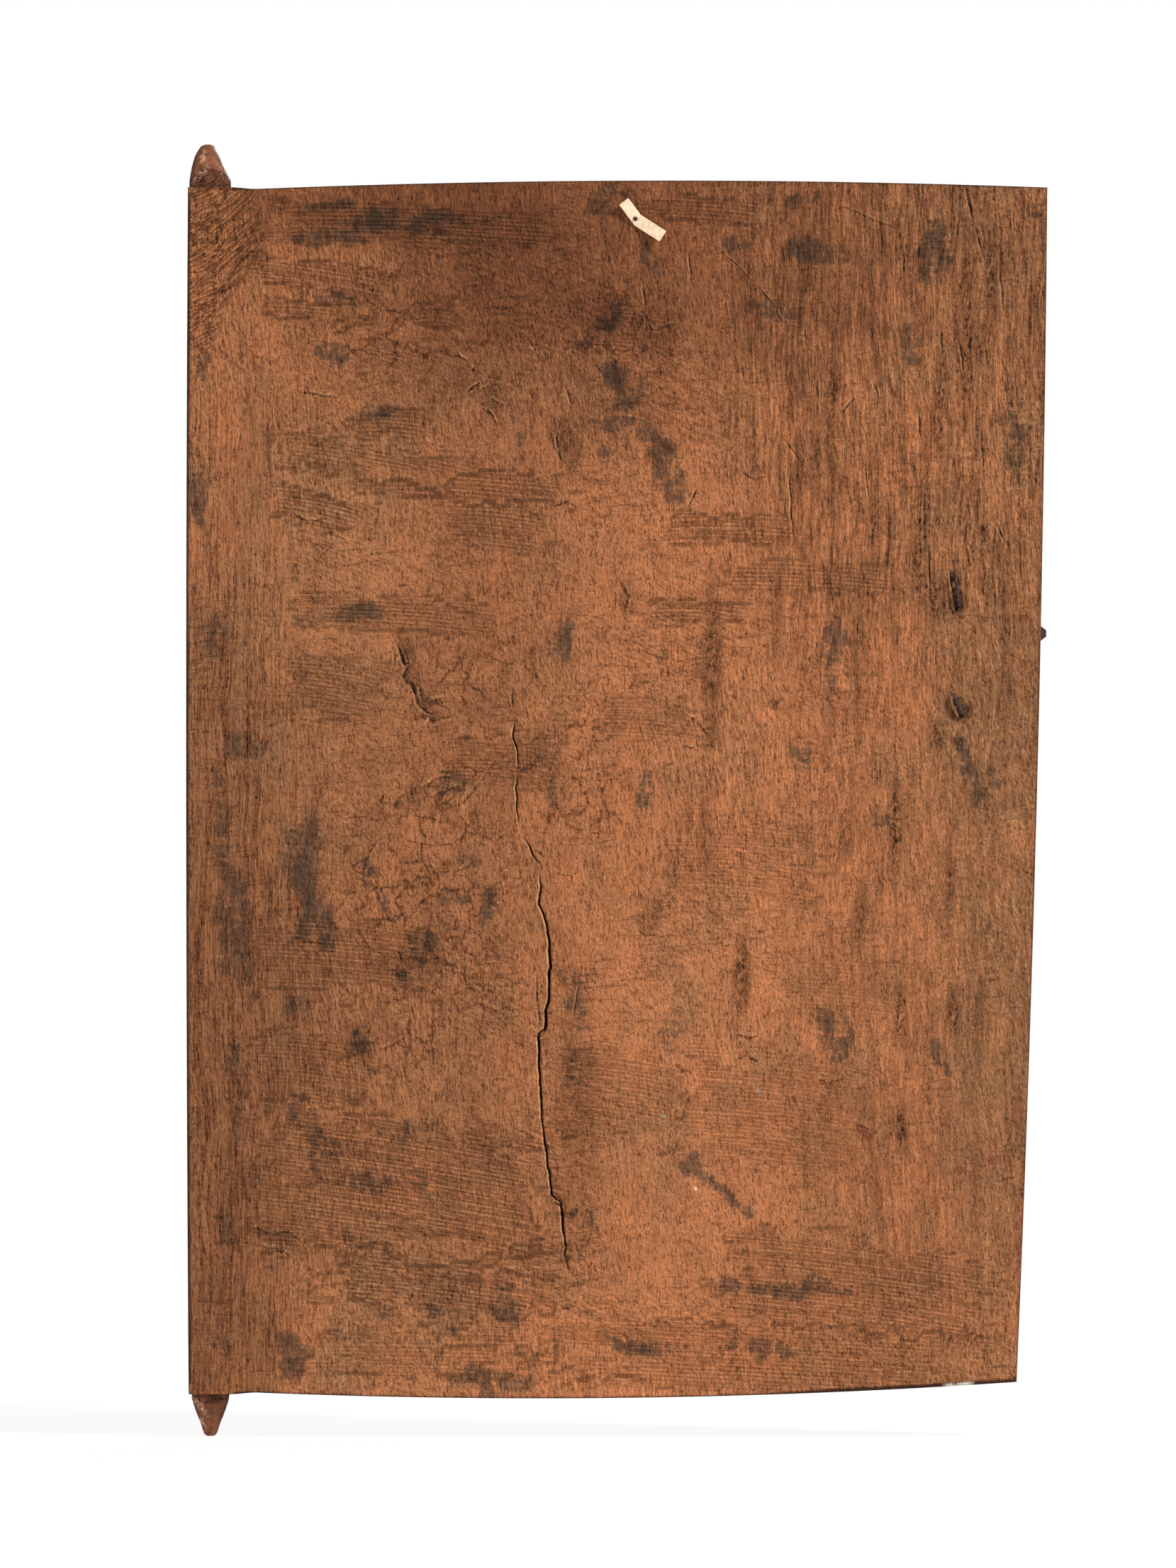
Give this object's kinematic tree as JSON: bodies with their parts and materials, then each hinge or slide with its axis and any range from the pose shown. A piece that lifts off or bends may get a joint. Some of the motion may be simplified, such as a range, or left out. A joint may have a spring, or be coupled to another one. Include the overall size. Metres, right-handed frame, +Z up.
{
  "type": "granary door",
  "caption": "Hewn wooden granary shutter that turns on carved pivots, with a carved front and a wooden tumbler lock.",
  "frame": {"origin": "on the hinge axis at the shoulder of the lower pivot, in the middle of the plank's thickness", "axes": "+Z up along the hinge axis, +X from the hinge axis to the free edge, +Y out of the carved front, so the plain back faces -Y"},
  "size_m": [0.4868, 0.0665, 0.7298],
  "materials": {
    "door_wood": "hand-adzed, dry red-brown wood with a dark patina on the front",
    "lock_wood": "dark handled wood",
    "bolt_wood": "dark wood, rubbed on its faces",
    "forged_iron": "hand-forged, brown-black oxide",
    "tag_paper": "aged cream paper, browned edges",
    "tack_iron": "rust-brown iron"
  },
  "bodies": {
    "door": {"door_board": "door_wood", "lock_case": "lock_wood", "upper_lock_nail": "forged_iron", "lower_lock_nail": "forged_iron", "paper_tag": "tag_paper", "tag_tack": "tack_iron"},
    "bolt": {"lock_bolt": "bolt_wood"},
    "tumbler_left": {"left_tumbler": "forged_iron"},
    "tumbler_right": {"right_tumbler": "forged_iron"}
  },
  "joints": [
    {"name": "bolt_slide", "type": "slide", "parent": "door", "child": "bolt", "axis": [1, 0, 0], "range_m": [-0.008, 0.02]},
    {"name": "left_tumbler_lift", "type": "slide", "parent": "door", "child": "tumbler_left", "axis": [0, 0, 1], "range_m": [0, 0.01]},
    {"name": "right_tumbler_lift", "type": "slide", "parent": "door", "child": "tumbler_right", "axis": [0, 0, 1], "range_m": [0, 0.01]}
  ]
}
